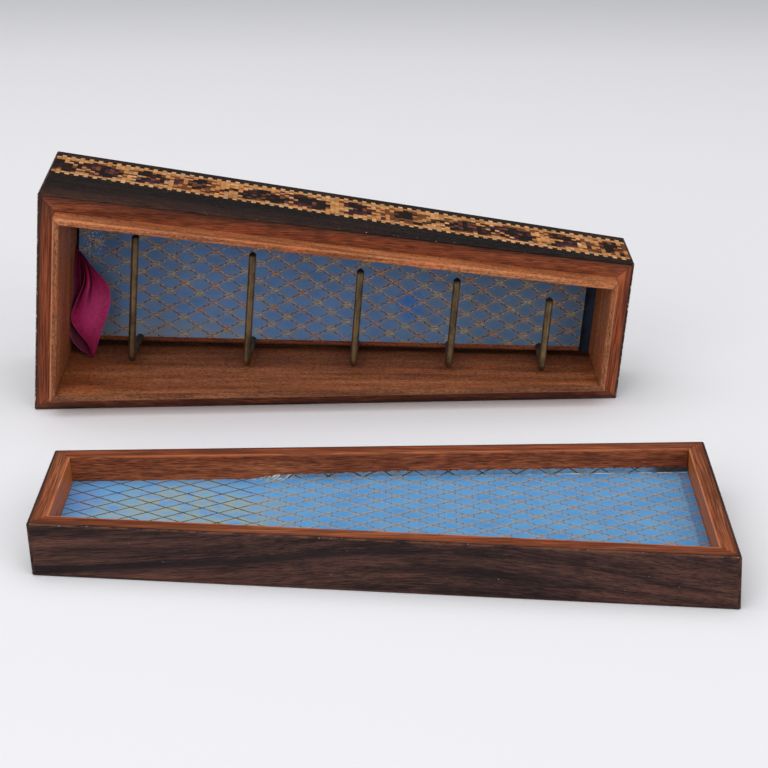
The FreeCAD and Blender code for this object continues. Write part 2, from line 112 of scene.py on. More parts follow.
# %% [markdown]
# ## Shader sums in Python
# A finish is a net of nodes. Drawn by hand it is easy to follow, but written in code it grows long, so one
# small class holds a socket and lets Python's own signs add the Math nodes. `1 - mask` then makes a
# Subtract node. Every other node comes from `node`, which takes the kind, its settings and its sockets.


# %% The socket class
class Thread:
    """A shader socket, or an empty start in a node tree, that Python's signs can work on."""

    def __init__(self, tree, socket=None):
        self.tree = tree
        self.socket = socket

    def node(self, kind, settings=None, sockets=None, output=0):
        """Adds a node: its settings first, then numbers or links for its sockets. Gives one output."""
        made = self.tree.nodes.new(kind)
        for setting, choice in (settings or {}).items():
            if setting == "stops":
                self.set_stops(made.color_ramp, choice)
            else:
                setattr(made, setting, choice)
        for key, source in (sockets or {}).items():
            if isinstance(source, Thread):
                self.tree.links.new(source.socket, made.inputs[key])
            else:
                made.inputs[key].default_value = source
        return Thread(self.tree, made.outputs[output]) if made.outputs else Thread(self.tree)

    @staticmethod
    def set_stops(ramp, stops):
        while len(ramp.elements) < len(stops):
            ramp.elements.new(1)
        for element, (position, colour) in zip(ramp.elements, stops):
            element.position = position
            element.color = colour

    def math(self, operation, first, second=0.0):
        return self.node("ShaderNodeMath", {"operation": operation}, {0: first, 1: second})

    def __add__(self, other):
        return self.math("ADD", self, other)

    def __radd__(self, other):
        return self.math("ADD", other, self)

    def __sub__(self, other):
        return self.math("SUBTRACT", self, other)

    def __rsub__(self, other):
        return self.math("SUBTRACT", other, self)

    def __mul__(self, other):
        return self.math("MULTIPLY", self, other)

    def __rmul__(self, other):
        return self.math("MULTIPLY", other, self)

    def __truediv__(self, other):
        return self.math("DIVIDE", self, other)

    def __pow__(self, other):
        return self.math("POWER", self, other)

    def __abs__(self):
        return self.math("ABSOLUTE", self)

    def sine(self):
        return self.math("SINE", self)

    def off_whole(self):
        """How far the number lies above the nearest whole number, -0.5 to 0.5."""
        return self - self.math("ROUND", self)

    def lower_of(self, other):
        return self.math("MINIMUM", self, other)

    def higher_of(self, other):
        return self.math("MAXIMUM", self, other)

    def fade(self, low, high, bottom=0.0, top=1.0):
        """A soft step from bottom at low to top at high."""
        return self.node(
            "ShaderNodeMapRange",
            {"interpolation_type": "SMOOTHSTEP"},
            {"Value": self, "From Min": low, "From Max": high, "To Min": bottom, "To Max": top},
        )


named = [name for name in vars(Thread) if not name.startswith("__")]
print("beside the signs, a socket has:", ", ".join(named))

# %% [markdown]
# ## Helpers for every finish
# Colours are noted as screen values from 0 to 255, as they are read off a picture, and turned into the
# linear values that shaders work with. `places` gives the position on the part in millimetres along three
# chosen directions. Grain runs along the first, so a noise that is stretched along it makes streaks.


# %% Colours and places
def colour(red, green, blue):
    """A screen colour as the linear colour of a shader."""
    shares = [channel / 255 for channel in (red, green, blue)]
    linear = [s / 12.92 if s <= 0.04045 else ((s + 0.055) / 1.055) ** 2.4 for s in shares]
    return (*linear, 1.0)


def start_finish(name):
    """A new material, empty but for the thread that its nodes are added with."""
    material = bpy.data.materials.new(name)
    material.use_nodes = True
    material.node_tree.nodes.clear()
    return material, Thread(material.node_tree)


def places(start, origin, *directions):
    """Distances from origin, in millimetres, along each direction."""
    position = start.node("ShaderNodeTexCoord", output="Object")
    shifted = start.node(
        "ShaderNodeVectorMath",
        {"operation": "SUBTRACT"},
        {0: position, 1: Vector(origin) * MILLIMETRE},
    )
    return [
        start.node(
            "ShaderNodeVectorMath",
            {"operation": "DOT_PRODUCT"},
            {0: shifted, 1: Vector(direction) / MILLIMETRE},
            output="Value",
        )
        for direction in directions
    ]


print("mid grey on the screen is", round(colour(128, 128, 128)[0], 3), "to a shader")


# %% Noise, layers and the shader
def noise(spot, sizes, detail=2.0, roughness=0.5):
    """A noise at a spot of three places, whose patches are about as long as sizes, in millimetres."""
    counted = [place / size for place, size in zip(spot, sizes)]
    vector = counted[0].node("ShaderNodeCombineXYZ", sockets=dict(zip("XYZ", counted)))
    return vector.node(
        "ShaderNodeTexNoise",
        sockets={"Vector": vector, "Scale": 1.0, "Detail": detail, "Roughness": roughness},
    )


def blend(mask, below, above):
    """The colour below, covered by the colour above where the mask is 1."""
    return mask.node("ShaderNodeMix", {"data_type": "RGBA"}, {0: mask, 6: below, 7: above}, output=2)


def layers(base, *covers):
    """A colour under covers, laid on one after another. Each is a mask and a screen colour or a socket."""
    for mask, cover in covers:
        base = blend(mask, base, cover if isinstance(cover, Thread) else colour(*cover))
    return base


def ramp(value, *stops):
    """Colours at their stops, each a number and a screen colour, and smooth between them."""
    stops = [(position, colour(*tone)) for position, tone in stops]
    return value.node("ShaderNodeValToRGB", {"stops": stops}, {"Fac": value})


def close_finish(start, base, roughness, height, bump_size, bump_strength=1.0, **plain):
    """The one shader of a finish: colour, roughness and bump vary, all else is plain numbers."""
    bumped = start.node(
        "ShaderNodeBump",
        sockets={"Strength": bump_strength, "Distance": bump_size * MILLIMETRE, "Height": height},
    )
    sockets = {"Base Color": base, "Roughness": roughness, "Normal": bumped}
    sockets.update({key.replace("_", " "): number for key, number in plain.items()})
    shader = start.node("ShaderNodeBsdfPrincipled", sockets=sockets)
    start.node("ShaderNodeOutputMaterial", sockets={"Surface": shader})


def paint(material, *names):
    for name in names:
        nodes[name].material_slots[0].material = material
    print(material.name, "on", ", ".join(names))


print("slots to paint:", sum(len(node.material_slots) for node in nodes.values()))

# %% [markdown]
# ## The directions of the case, the rack and the lid
# The case tapers in width and in depth. Its length axis is tipped by half of each taper, so the frames of
# its pieces are worked out once from the sizes of the case. The rack lies parallel to the bottom, above its
# veneer, board and paper, and starts behind the wide wall and a gap. The lid lies turned over and slightly
# askew, on its own level top.

# %% Directions
case_length = 210
wide_width, narrow_width = 81.2, 52.4
wide_depth, narrow_depth = 69.5, 46.3
lid_height = 17.4
under_rack = 4.0
wall_and_gap = 9.6
width_lean = math.atan((wide_width - narrow_width) / 2 / case_length)
depth_lean = math.atan((wide_depth - narrow_depth) / 2 / case_length)
lid_depth = lid_height / math.cos(depth_lean)

case_along = Vector((math.cos(width_lean), 0, -math.sin(width_lean)))
case_across = Vector((math.sin(width_lean), 0, math.cos(width_lean)))
case_out = Vector((0, -1, 0))
mean_width = (wide_width + narrow_width) / 2
case_origin = Vector(
    (
        (mean_width * math.sin(width_lean) - case_length * math.cos(width_lean)) / 2,
        -lid_depth / 2,
        wide_width / 2 * math.cos(width_lean),
    )
)
lower_run = Vector((1, 0, 0))
upper_run = Vector((math.cos(2 * width_lean), 0, -math.sin(2 * width_lean)))

rack_along = math.cos(depth_lean) * case_along + math.sin(depth_lean) * case_out
rack_up = math.cos(depth_lean) * case_out - math.sin(depth_lean) * case_along
rack_origin = case_origin + (under_rack / math.cos(depth_lean) - wide_depth / 2) * case_out

lid_turn = math.radians(-1.82)
lid_along = Vector((-math.cos(lid_turn), -math.sin(lid_turn), 0))
lid_across = Vector((-math.sin(lid_turn), math.cos(lid_turn), 0))
lid_up = Vector((0, 0, 1))
lid_origin = Vector((120.9, -130.7, 0))
print("width lean", round(math.degrees(width_lean), 2), "and depth lean", round(math.degrees(depth_lean), 2))

# %% [markdown]
# ## Edges that wear
# Old wood shows its age first at the edges: polish rubs off there, and dirt gathers beside a joint. A finish
# can find an edge without any painting by hand. The two flat faces that meet there are read from the solid,
# and a point that lies close to both planes lies on the edge. On the liner's lip and the lid's rim, the light
# along such an edge is partly wear and partly a painted highlight.


# %% Planes and edges
def facing(name, direction):
    """The largest flat face of a node that looks in a direction: a point on it and its normal."""
    looking = [face for face in nodes[name].data.polygons if face.normal.dot(direction) > 0.9]
    widest = max(looking, key=lambda face: face.area)
    return widest.center / MILLIMETRE, widest.normal.copy()


def near(start, plane, reach):
    """1 on a plane, falling to 0 at reach millimetres from it."""
    point, normal = plane
    return abs(places(start, point, normal)[0]).fade(0, reach, 1.0, 0.0)


def along_edges(start, edges, reach):
    """1 along each edge where two planes meet."""
    mask = None
    for first, second in edges:
        edge = near(start, first, reach) * near(start, second, reach)
        mask = edge if mask is None else mask.higher_of(edge)
    return mask


upper_out = Vector((math.sin(2 * width_lean), 0, math.cos(2 * width_lean)))
lower_out = Vector((0, 0, -1))
print("the upper side looks along", [round(x, 3) for x in facing("case_veneer_upper_front", upper_out)[1]])

# %% [markdown]
# ## Rosewood veneer
# The outside is rosewood: near black, with red-brown figure and short dark pores along the grain, under an
# old thin polish. Three noises of different length make it. The broad one gives the figure, the thin one the
# streaks, the short one the pores, and the pores also dull the polish and press into the bump. On the lid's
# front the figure rises to a peak with one dark vein in it, so there the grain is bent before it is drawn.
# The front strip of the upper side is the darkest, and the sun has faded its edge towards the wide end.


# %% Rosewood
PEAK_ROUND = 20
PEAK_SLOPE = 0.13
VEIN_RISE = 18.3


def rosewood(name, along, across, up, shade=0.94, worn=(), chipped=0.08, peak=None, sunned=()):
    """Dark wood. Worn edges are rubbed and chipped, a peak bends the grain, and a sunned edge is faded."""
    material, start = start_finish(name)
    spot = places(start, lid_origin, along, across, up)
    run, side, rise = spot
    sway = noise(spot, (110, 30, 30), 1.0)
    grain_side = side + (sway - 0.5) * 6
    grain_rise = rise + (sway - 0.5) * 6
    if peak:
        grain_rise = grain_rise + ((run - peak) ** 2 + PEAK_ROUND**2) ** 0.5 * PEAK_SLOPE
    grain = (run, grain_side, grain_rise)
    figure = noise(grain, (200, 4.2, 4.2), 3.0, 0.55)
    streaks = noise(grain, (70, 0.45, 0.45), 3.0, 0.75)
    pores = noise(grain, (4.5, 0.24, 0.24), 1.0).fade(0.55, 0.68)
    depth = (figure * 0.55 + streaks * 0.50).fade(0.30, 0.75)

    def tone(red, green, blue):
        return red * shade, green * shade, blue * shade

    wood = ramp(
        depth,
        (0.0, tone(26, 20, 20)),
        (0.30, tone(46, 32, 30)),
        (0.58, tone(70, 47, 42)),
        (0.82, tone(88, 57, 48)),
        (1.0, tone(106, 68, 55)),
    )
    if peak:
        off_vein = abs(grain_rise - VEIN_RISE + (streaks - 0.5) * 2.4)
        vein = off_vein.fade(0.7, 1.9, 0.8, 0.0) * run.fade(84, 100)
        wood = layers(wood, (vein, tone(27, 23, 26)))
    wood = layers(wood, (pores * 0.65, tone(20, 15, 16)))
    if sunned:
        front, end = sunned
        faded = near(start, *front) * near(start, *end) * streaks.fade(0.36, 0.62, 0.15, 0.7)
        wood = layers(wood, (faded, tone(164, 98, 80)))
    if worn:
        edge = along_edges(start, worn, 0.9)
        patches = noise(spot, (5, 1.6, 1.6), 3.0, 0.6)
        rubbed = edge * patches.fade(0.40, 0.62) * 0.55
        chips = noise(spot, (0.8, 0.5, 0.5), 1.0) + edge * chipped
        wood = layers(wood, (rubbed, tone(132, 84, 60)), (chips.fade(0.80, 0.84) * 0.8, (206, 194, 178)))
    dullness = noise(spot, (14, 9, 9), 2.0) * 0.16 + 0.18 + pores * 0.2
    close_finish(start, wood, dullness, streaks * 0.35 - pores, 0.05, 0.5, Specular_IOR_Level=0.08)
    return material


def edge_pairs(name, face, *others):
    """The edges of a node between one face and others, each named by the way it looks."""
    return [(facing(name, face), facing(name, other)) for other in others]


worn = edge_pairs("case_veneer_upper_front", upper_out, case_out)
sunned = ((worn[0][1], 13), (facing("case_veneer_wide_end", -case_along), 150))
front_strip = rosewood("rosewood_front_strip", upper_run, case_out, case_across, 0.5, worn, sunned=sunned)
paint(front_strip, "case_veneer_upper_front")
paint(rosewood("rosewood_back_strip", upper_run, case_out, case_across, 0.68), "case_veneer_upper_back")
worn = edge_pairs("case_veneer_lower", lower_out, case_out)
paint(rosewood("rosewood_lower", lower_run, case_out, case_across, 0.94, worn), "case_veneer_lower")
for name, face in (("case_veneer_wide_end", -case_along), ("case_veneer_narrow_end", case_along)):
    worn = edge_pairs(name, face, case_out)
    worn += [(worn[0][0], facing("case_veneer_upper_front", upper_out))]
    worn += [(worn[0][0], facing("case_veneer_lower", lower_out))]
    paint(rosewood(f"rosewood_{name}", case_across, case_out, case_along, 0.94, worn, 0.3), name)
paint(rosewood("rosewood_bottom", lower_run, case_across, case_out), "case_veneer_bottom")

# %% Rosewood of the lid
for name, face, peak in (("lid_veneer_front", -lid_across, 85), ("lid_veneer_rear", lid_across, 140)):
    worn = edge_pairs(name, face, lid_up)
    worn += [(worn[0][0], facing("lid_veneer_top", -lid_up))]
    paint(rosewood(f"rosewood_{name}", lid_along, lid_across, lid_up, 1.0, worn, 0.1, peak), name)
for name, face in (("lid_veneer_wide_end", -lid_along), ("lid_veneer_narrow_end", lid_along)):
    worn = edge_pairs(name, face, lid_up)
    worn += [(worn[0][0], facing("lid_veneer_front", -lid_across))]
    worn += [(worn[0][0], facing("lid_veneer_rear", lid_across))]
    paint(rosewood(f"rosewood_{name}", lid_across, lid_up, lid_along, 0.94, worn, 0.1), name)
paint(rosewood("rosewood_top", lid_along, lid_across, lid_up), "lid_veneer_top")

# %% [markdown]
# ## Mahogany and the liner wood
# Under the veneer the walls are mahogany, red-brown and plain, with many short pores. The liner that holds
# the lid is a lighter, more orange piece of the same kind. One function makes both, from three tones each,
# and the grain of every wall runs along its own length, which shows the mitres at the corners. The glue line
# of a mitre is a thin dark line in the plane that halves the corner, so each corner gives one such plane.
# Dirt has gathered beside the veneers' edges. The dark on the liner next to the rack and on the rack's lower
# edge is painted shade of the gap there. The light along the liner's lip and the lid's rim is partly wear and
# partly a painted highlight, and the lid's end walls get painted light on their inner faces.


# %% Mitres
def mitre(corner, first_edge, second_edge):
    """The plane that halves a corner: a point on it, its normal, and its way into the frame."""
    first, second = first_edge.normalized(), second_edge.normalized()
    return corner, (first - second).normalized(), (first + second).normalized()


def mitres(origin, along, across, wide_end, narrow_end):
    """The four mitres of a tapered frame, from the places of its ends and half its width there."""
    planes = []
    for sign in (-1, 1):
        wide = origin + wide_end[0] * along + sign * wide_end[1] * across
        narrow = origin + narrow_end[0] * along + sign * narrow_end[1] * across
        planes.append(mitre(wide, narrow - wide, -sign * across))
        planes.append(mitre(narrow, wide - narrow, -sign * across))
    return planes


half_wide, half_narrow = wide_width / 2, narrow_width / 2
lid_wide = (lid_depth - wide_depth / 2) * math.sin(depth_lean)
lid_narrow = case_length * math.cos(depth_lean) + (lid_depth - narrow_depth / 2) * math.sin(depth_lean)
case_mitres = mitres(case_origin, case_along, case_across, (0, half_wide), (case_length, half_narrow))
lid_mitres = mitres(lid_origin, lid_along, lid_across, (lid_wide, half_wide), (lid_narrow, half_narrow))
print("mitres:", len(case_mitres) + len(lid_mitres))


# %% Mahogany
def mahogany(name, directions, joints, tones, polish=0.5, dirt_and_shade=(), lit_face=None, worn=(), rub_and_highlight=0.75, pore=1.2):
    """A red-brown wood. Dirt and painted shade lie beside planes, one face gets painted light, and worn edges
    are rubbed light, partly as a painted highlight.
    """
    dark, middle, light = tones
    material, start = start_finish(name)
    spot = places(start, (0, 0, 0), *directions)
    run, side, rise = spot
    sway = noise(spot, (60, 15, 15), 1.0)
    grain = (run, side + (sway - 0.5) * 4, rise + (sway - 0.5) * 4)
    figure = noise(grain, (80, 4.5, 4.5), 2.0)
    streaks = noise(grain, (20, 0.5, 0.5), 3.0, 0.65)
    specks = noise(spot, (pore * 0.75, 0.4, 0.4), 2.0, 0.6)
    pores = noise(spot, (pore, 0.32, 0.32), 1.0).fade(0.50, 0.64)
    depth = (figure * 0.34 + streaks * 0.33 + specks * 0.33).fade(0.31, 0.67)
    wood = ramp(depth, (0.0, dark), (0.5, middle), (1.0, light))
    patches = noise(spot, (16, 3, 3), 3.0, 0.6)
    reddish = (light[0] * 1.02, light[1] * 0.82, light[2] * 0.7)
    pore_tone = [channel * 0.62 for channel in dark]
    wood = layers(wood, (patches.fade(0.5, 0.7) * 0.4, reddish), (pores * 0.6, pore_tone))
    # Painted light: one face is made paler and more orange, as if lit.
    if lit_face:
        wood = layers(wood, (near(start, lit_face, 0.4) * 0.55, (204, 114, 50)))
    # Each plane darkens the wood beside it: dirt at a joint, painted shade at a gap.
    for plane, reach, strength in dirt_and_shade:
        stain_and_shade = near(start, plane, reach) * patches.fade(0.25, 0.6, 0.55, 1.0)
        wood = layers(wood, (stain_and_shade * strength, (30, 19, 15)))
    # Rubbed edges: partly wear, partly a painted highlight.
    if worn:
        rubbed = along_edges(start, worn, 0.9) * patches.fade(0.28, 0.56)
        wood = layers(wood, (rubbed * rub_and_highlight, [channel * 1.16 for channel in light]))
    for point, normal, inwards in joints:
        aside, inside = places(start, point, normal, inwards)
        glue = abs(aside).fade(0.06, 0.22, 0.5, 0.0) * inside.fade(13, 15, 1.0, 0.0)
        wood = layers(wood, (glue, (34, 18, 12)))
    dullness = streaks * 0.2 + (polish - 0.1) + pores * 0.2
    close_finish(start, wood, dullness, streaks * 0.4 - pores, 0.06, 0.7, Specular_IOR_Level=0.2)
    return material


WALL_TONES = ((74, 33, 17), (112, 54, 30), (154, 84, 50))
LINER_TONES = ((104, 55, 30), (154, 90, 54), (206, 133, 86))
LID_TONES = ((84, 38, 20), (128, 65, 37), (176, 102, 64))
# The lid's end walls are given lighter tones, as painted light.
LID_END_LIT_TONES = ((92, 46, 26), (136, 74, 45), (182, 112, 76))
LONG_PORE = 16

rack_face = facing("rack_paper", rack_up)
along_lower = (lower_run, case_out, case_across)
along_upper = (upper_run, case_out, case_across)
along_ends = (case_across, case_out, case_along)
for side_name, directions, out, shade, dirt_and_shade, lip_darkening, rub_and_highlight in (
    ("upper", along_upper, upper_out, 1.0, (2.4, 0.6), 0.0, 0.35),
    ("lower", along_lower, lower_out, 1.1, (4.0, 0.8), 0.62, 0.15),
    ("wide_end", along_ends, -case_along, 1.1, (1.6, 0.5), 0.38, 0.6),
    ("narrow_end", along_ends, case_along, 1.22, (1.4, 0.6), 0.42, 0.3),
):
    core, liner = f"case_wall_{side_name}", f"liner_{side_name}"
    tones = [[channel * shade for channel in tone] for tone in WALL_TONES]
    stains_and_shade = [(facing(core, out), *dirt_and_shade)]
    if side_name == "wide_end":
        stains_and_shade += [(facing("case_veneer_upper_front", upper_out), 15, 0.85)]
    paint(mahogany(f"mahogany_{core}", directions, case_mitres, tones, 0.5, stains_and_shade, pore=LONG_PORE), core)
    # The lip's edges are rubbed light, partly as a painted highlight.
    lip = edge_pairs(liner, case_out, out)
    # The lip's face towards the opening is made darker, most on the lower liner.
    stains_and_shade = [(facing(liner, case_out), 1.4, lip_darkening)]
    if side_name == "lower":
        # Painted shade on the liner floor under and beside the rack.
        stains_and_shade += [(rack_face, 20, 0.5), (rack_face, 4.5, 0.9)]
    wood = mahogany(f"mahogany_{liner}", directions, case_mitres, LINER_TONES, 0.42, stains_and_shade, None, lip, rub_and_highlight)
    paint(wood, liner)
paint(mahogany("mahogany_bottom", along_lower, (), WALL_TONES), "case_bottom_board")
rack_grain = (rack_along, case_across, rack_up)
# Painted shade along the rack board's lower edge, over the gap to the liner.
lower_edge_shade = (facing("rack_board", -case_across), 1.0, 0.95)
paint(mahogany("rack_wood", rack_grain, (), LID_TONES, 0.5, [lower_edge_shade]), "rack_board")

# %% Mahogany of the lid
lid_run = (lid_along, lid_across, lid_up)
lid_ends = (lid_across, lid_along, lid_up)
for name, out in (("lid_wall_rear", lid_across), ("lid_wall_front", -lid_across)):
    # The rim's inner edge is rubbed light, partly as a painted highlight.
    rim = edge_pairs(name, lid_up, -out)
    stains_and_shade = [(facing(name, out), 1.2, 0.4)]
    title = f"mahogany_{name}"
    wood = mahogany(title, lid_run, lid_mitres, LID_TONES, 0.45, stains_and_shade, None, rim, pore=LONG_PORE)
    paint(wood, name)
for name, out in (("lid_wall_wide_end", -lid_along), ("lid_wall_narrow_end", lid_along)):
    rim = edge_pairs(name, lid_up, -out)
    stains_and_shade = [(facing(name, out), 1.6, 0.5)]
    # The inner face is the one given painted light.
    inner = facing(name, -out)
    title = f"mahogany_{name}"
    wood = mahogany(title, lid_ends, lid_mitres, LID_END_LIT_TONES, 0.45, stains_and_shade, inner, rim, pore=LONG_PORE)
    paint(wood, name)
paint(mahogany("mahogany_lid_top", lid_run, (), LID_TONES), "lid_top_board")

# %% [markdown]
# ## Lattice paper
# The rack and the lid are lined with blue paper, printed with a lattice in dull gold. Each line is a pair of
# thin strands, one dark and one gilt, twisted together, and a few gilt strokes make a knot at each crossing.
# The lattice is made of two slanted sets of lines: the sum and the difference of the two places, each counted
# in diamonds. The nearest whole number is the nearest line. The paper's age lies over it as patches of paler
# and darker blue.

# %% Lattice paper
DIAMOND_LENGTH = 11.05
DIAMOND_HEIGHT = 6.7
TWISTS = 3
STROKE_GAP = 0.62
line_gap = 1 / math.hypot(1 / DIAMOND_LENGTH, 1 / DIAMOND_HEIGHT)


def lattice(run, side, spread, width):
    """Masks for the dark strands, the gilt strands, the gilt knots and the gilt dust beside the lines."""
    rising = run / DIAMOND_LENGTH + side / DIAMOND_HEIGHT
    falling = run / DIAMOND_LENGTH - side / DIAMOND_HEIGHT
    wave = noise((run, side, side), (1.6, 1.6, 1.6), 1.0) - 0.5
    masks = []
    for line, other in ((rising, falling), (falling, rising)):
        aside = line.off_whole() * line_gap
        twist = (other * (math.tau * TWISTS)).sine() * 0.5 * spread + 0.5 * spread
        bent = aside + wave * 0.35
        pair = [abs(bent + twist * turn).fade(width * 0.5, width * 1.5, 1.0, 0.0) for turn in (1, -1)]
        masks.append((*pair, (abs(aside) + wave * 0.9).fade(0.4, 2.2, 1.0, 0.0)))
    dark, gilt, halo = (first.higher_of(second) for first, second in zip(*masks))
    knot_run = (rising.off_whole() + falling.off_whole()) * (DIAMOND_LENGTH / 2)
    knot_side = (rising.off_whole() - falling.off_whole()) * (DIAMOND_HEIGHT / 2)
    reach = ((knot_run / 1.6) ** 2 + knot_side**2) ** 0.5
    strokes = ((knot_side + wave * 0.3) * (math.tau / STROKE_GAP)).sine().fade(-0.3, 0.7)
    knots = (reach + wave * 0.9).fade(0.7, 1.5, 1.0, 0.0) * strokes
    return dark, gilt, knots, halo


def patch(run, side, mottle, centre, reach, strength):
    """A soft-edged, uneven patch round a centre."""
    away = (((run - centre[0]) / reach[0]) ** 2 + ((side - centre[1]) / reach[1]) ** 2) ** 0.5
    return (away + (mottle - 0.5) * 1.4).fade(0.5, 1.2, strength, 0.0)


print("lattice lines lie", round(line_gap, 2), "mm apart")

# %% [markdown]
# ## Paper on the rack
# Here the paper is dull and its gold has browned. One spot kept its fresh blue, the print is rubbed in
# places, and a few white flecks lie near the ribbon. The sheet is left as the solid it is.

# %% Rack paper
material, start = start_finish("lattice_paper_rack")
spot = places(start, rack_origin, rack_along, case_across, rack_up)
run, side = spot[:2]
crossing_run, crossing_side, print_lean = 55.1, 5.4, 0.0077
dark, gilt, knots, halo = lattice(run - crossing_run, side - run * print_lean - crossing_side, 0.36, 0.15)
mottle = noise(spot, (15, 10, 10), 4.0, 0.65)
fibres = noise(spot, (0.5, 0.5, 0.5), 2.0)
rubbed = noise(spot, (4, 4, 4), 4.0, 0.7).fade(0.36, 0.58, 0.45, 1.0)
paper = ramp(mottle, (0.3, (79, 118, 166)), (0.5, (88, 129, 181)), (0.7, (102, 138, 180)))
fresh_spot = patch(run, side, mottle, (133, -4), (6, 8), 0.85)
pale_foot = patch(run, side, mottle, (40, -26), (50, 8), 0.5)
kept_gilt = (side + (mottle - 0.5) * 30).fade(-14, 4, 0.35, 1.0)
dust = noise(spot, (1.1, 0.45, 0.45), 2.0, 0.7).fade(0.38, 0.60)
glint = noise(spot, (0.9, 0.9, 0.9), 2.0).fade(0.40, 0.60)
ember = noise(spot, (7, 7, 7), 1.0).fade(0.46, 0.62)
flecks = noise(spot, (0.7, 0.7, 0.7), 1.0)
chips = flecks.fade(0.55, 0.63) * patch(run, side, mottle, (15, 9), (4, 6), 0.9)
paper = layers(
    paper,
    (fresh_spot, (36, 116, 204)),
    (pale_foot, (132, 144, 156)),
    (run.fade(90, 180) * 0.5, (80, 102, 120)),
    (halo * rubbed * dust * 0.75, (142, 122, 90)),
    (dark * rubbed, (58, 50, 38)),
    (gilt * glint * kept_gilt, (200, 176, 122)),
    (knots * rubbed * 0.9, blend(ember, colour(186, 168, 124), colour(184, 120, 66))),
    (flecks.fade(0.74, 0.80) * 0.6, (196, 196, 190)),
    (chips, (214, 210, 200)),
)
close_finish(start, paper, fibres * 0.2 + 0.62, fibres * 0.5 + dark * 0.5, 0.03, 0.5, Specular_IOR_Level=0.2)
paint(material, "rack_paper")

# %% [markdown]
# ## Paper in the lid
# The lid's paper is fresher. It lies on the board, turns up a little against the rear wall, and its edge is
# torn away towards the narrow end. A solid can't tear, so the sheet is a mesh: a grid over the board, bent
# up at the rear, as high as a ragged outline says. Every point keeps its place on the flat sheet, so the
# print runs on round the bend. Four small helpers make such a mesh and read its places back.


# %% Helpers for a mesh of one's own
def grid_faces(lines, row):
    """Squares between lines of points that follow each other, with row points in each line."""
    starts = [line * row + k for line in range(lines - 1) for k in range(row - 1)]
    return [(first, first + 1, first + row + 1, first + row) for first in starts]


def mesh_piece(name, points, faces):
    """A new object with a mesh of these points, in metres."""
    mesh = bpy.data.meshes.new(name)
    mesh.from_pydata(points, [], faces)
    piece = bpy.data.objects.new(name, mesh)
    bpy.context.collection.objects.link(piece)
    return piece


def write_places(piece, name, kept):
    """Keeps three numbers with each point of a mesh."""
    column = piece.data.attributes.new(name, "FLOAT_VECTOR", "POINT")
    for entry, numbers in zip(column.data, kept):
        entry.vector = numbers


def read_places(start, name):
    """The three numbers that a mesh keeps, for a finish to use."""
    kept = start.node("ShaderNodeAttribute", {"attribute_name": name}, output="Vector")
    return [start.node("ShaderNodeSeparateXYZ", sockets={0: kept}, output=axis) for axis in "XYZ"]


print("a grid of 3 lines of 4 points has", len(grid_faces(3, 4)), "squares")

# %% Sheet of the lid paper
sheet_points = [vertex.co / MILLIMETRE - lid_origin for vertex in nodes["lid_lining_paper"].data.vertices]
flat_points = [(point.dot(lid_along), point.dot(lid_across), point.z) for point in sheet_points]
sheet_top = sorted({round(z, 2) for run, side, z in flat_points})[1]
wide_run = min(run for run, side, z in flat_points)
narrow_run = max(run for run, side, z in flat_points)
wide_side = max(-side for run, side, z in flat_points if run < wide_run + 0.5)
narrow_side = max(-side for run, side, z in flat_points if run > narrow_run - 0.5)

TURN_HEIGHT = 2.1
FALL, FALL_START, FALL_LENGTH = 0.9, 95, 50
TEAR_END, TEAR_LENGTH = 147, 9
LEAST_TURN = 0.03


def turn_up(run):
    """The height of the torn edge against the rear wall, in millimetres."""
    tear = 0.35 * math.sin(run * 1.7) + 0.25 * math.sin(run * 4.3 + 1) + 0.15 * math.sin(run * 9.1)
    full = TURN_HEIGHT - FALL * max(0.0, (run - FALL_START) / FALL_LENGTH)
    end = min(1.0, max(0.0, (TEAR_END - run) / TEAR_LENGTH))
    return max(LEAST_TURN, (full + 0.4 * tear) * end)


SHEET_RUNS, SHEET_SIDES, TURN_ROWS = 400, 12, 5
points, flat_places = [], []
for step in range(SHEET_RUNS + 1):
    run = wide_run + (narrow_run - wide_run) * step / SHEET_RUNS
    half = wide_side + (narrow_side - wide_side) * step / SHEET_RUNS
    for k in range(SHEET_SIDES + 1):
        side = half * (2 * k / SHEET_SIDES - 1)
        points.append(lid_origin + run * lid_along + side * lid_across + sheet_top * lid_up)
        flat_places.append((run, side, 0))
    for k in range(1, TURN_ROWS + 1):
        rise = turn_up(run) * k / TURN_ROWS
        points.append(lid_origin + run * lid_along + half * lid_across + (sheet_top + rise) * lid_up)
        flat_places.append((run, half + rise, 1))
faces = grid_faces(SHEET_RUNS + 1, SHEET_SIDES + TURN_ROWS + 1)
lid_paper = mesh_piece("lid_paper", [point * MILLIMETRE for point in points], faces)
write_places(lid_paper, "flat_place", flat_places)
print("lid paper from", round(wide_run, 1), "to", round(narrow_run, 1), "mm, top at", sheet_top)

# %% Blue of the lid paper
material, start = start_finish("lattice_paper_lid")
spot = read_places(start, "flat_place")
run, side, turned = spot
crossing_run, crossing_side, print_lean = 33.05, 1.17, -0.009
crisp = run.fade(TEAR_END - TEAR_LENGTH, TEAR_END)
single = crisp.higher_of(turned)
print_side = side - run * print_lean - crossing_side
dark, gilt, knots, halo = lattice(run - crossing_run, print_side, 0.52 - single * 0.5, crisp * 0.06 + 0.2)
mottle = noise(spot, (15, 10, 1), 4.0, 0.65)
fibres = noise(spot, (0.5, 0.5, 1), 2.0)
rubbed = noise(spot, (3, 3, 1), 4.0, 0.7).fade(0.36, 0.62, 0.35, 0.95)
paper = ramp(mottle, (0.3, (75, 142, 200)), (0.5, (84, 152, 210)), (0.7, (99, 161, 208)))
bleach = patch(run, side, mottle, (166, 0), (32, 24), 0.95) * rubbed.fade(0.3, 0.8, 0.6, 1.0)
tints = noise(spot, (7, 4, 1), 1.0)
pale_front = patch(run, side, mottle, (184, -8), (22, 9), 0.5)
